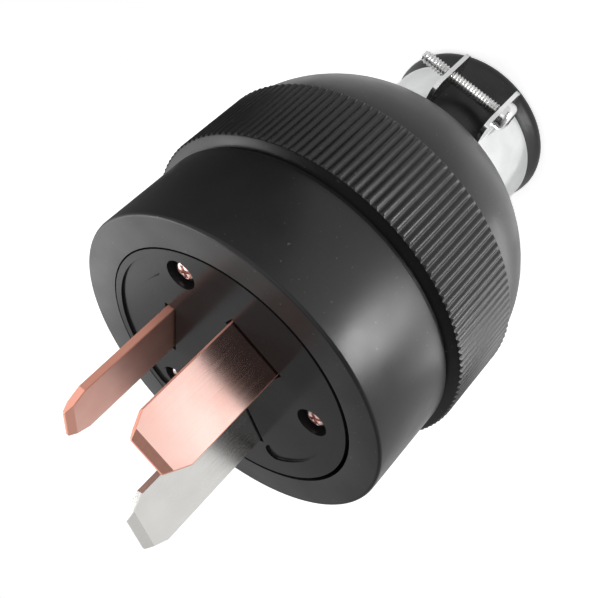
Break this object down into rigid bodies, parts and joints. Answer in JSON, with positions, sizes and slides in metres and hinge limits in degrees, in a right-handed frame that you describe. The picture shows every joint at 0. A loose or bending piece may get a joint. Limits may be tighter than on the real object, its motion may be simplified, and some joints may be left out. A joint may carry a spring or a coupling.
{
  "type": "rubber power plug",
  "caption": "Round rubber-covered power plug: flat copper line blades in a V, a longer earth blade, a knurled grip ring, a domed back and a split screw clamp on the neck for the cord.",
  "frame": {"origin": "on the plug's axis, in the plane of the tail lip's lowest edge, which it stands on", "axes": "+Z along the mating axis towards the blade tips, +Y from the axis towards the earth blade, +X to the right of both by the right-hand rule"},
  "size_m": [0.0684, 0.0684, 0.1108],
  "materials": {
    "rubber": "satin black rubber",
    "hard_black": "glossy black moulding",
    "base_black": "matt dark moulding",
    "copper": "rolled copper, lightly polished",
    "nickel_silver": "pale nickel-plated sheet",
    "plated_band": "bright zinc-plated sheet",
    "plated_screw": "bright zinc-plated screw",
    "brass": "plain brass"
  },
  "bodies": {
    "root": {"rubber_cover": "rubber", "face_insert": "hard_black", "terminal_base": "base_black", "line_blade_1": "copper", "line_blade_2": "copper", "earth_blade": "nickel_silver", "terminal_screw_1": "plated_screw", "terminal_screw_2": "plated_screw", "terminal_screw_3": "plated_screw", "wire_clamp_1": "brass", "wire_clamp_2": "brass", "wire_clamp_3": "brass", "face_screw_1": "plated_screw", "face_screw_2": "plated_screw", "face_screw_3": "plated_screw", "face_nut_1": "brass", "face_nut_2": "brass", "face_nut_3": "brass", "clamp_band_1": "plated_band", "clamp_band_2": "plated_band", "clamp_screw_1": "plated_screw", "clamp_screw_2": "plated_screw"}
  },
  "joints": []
}
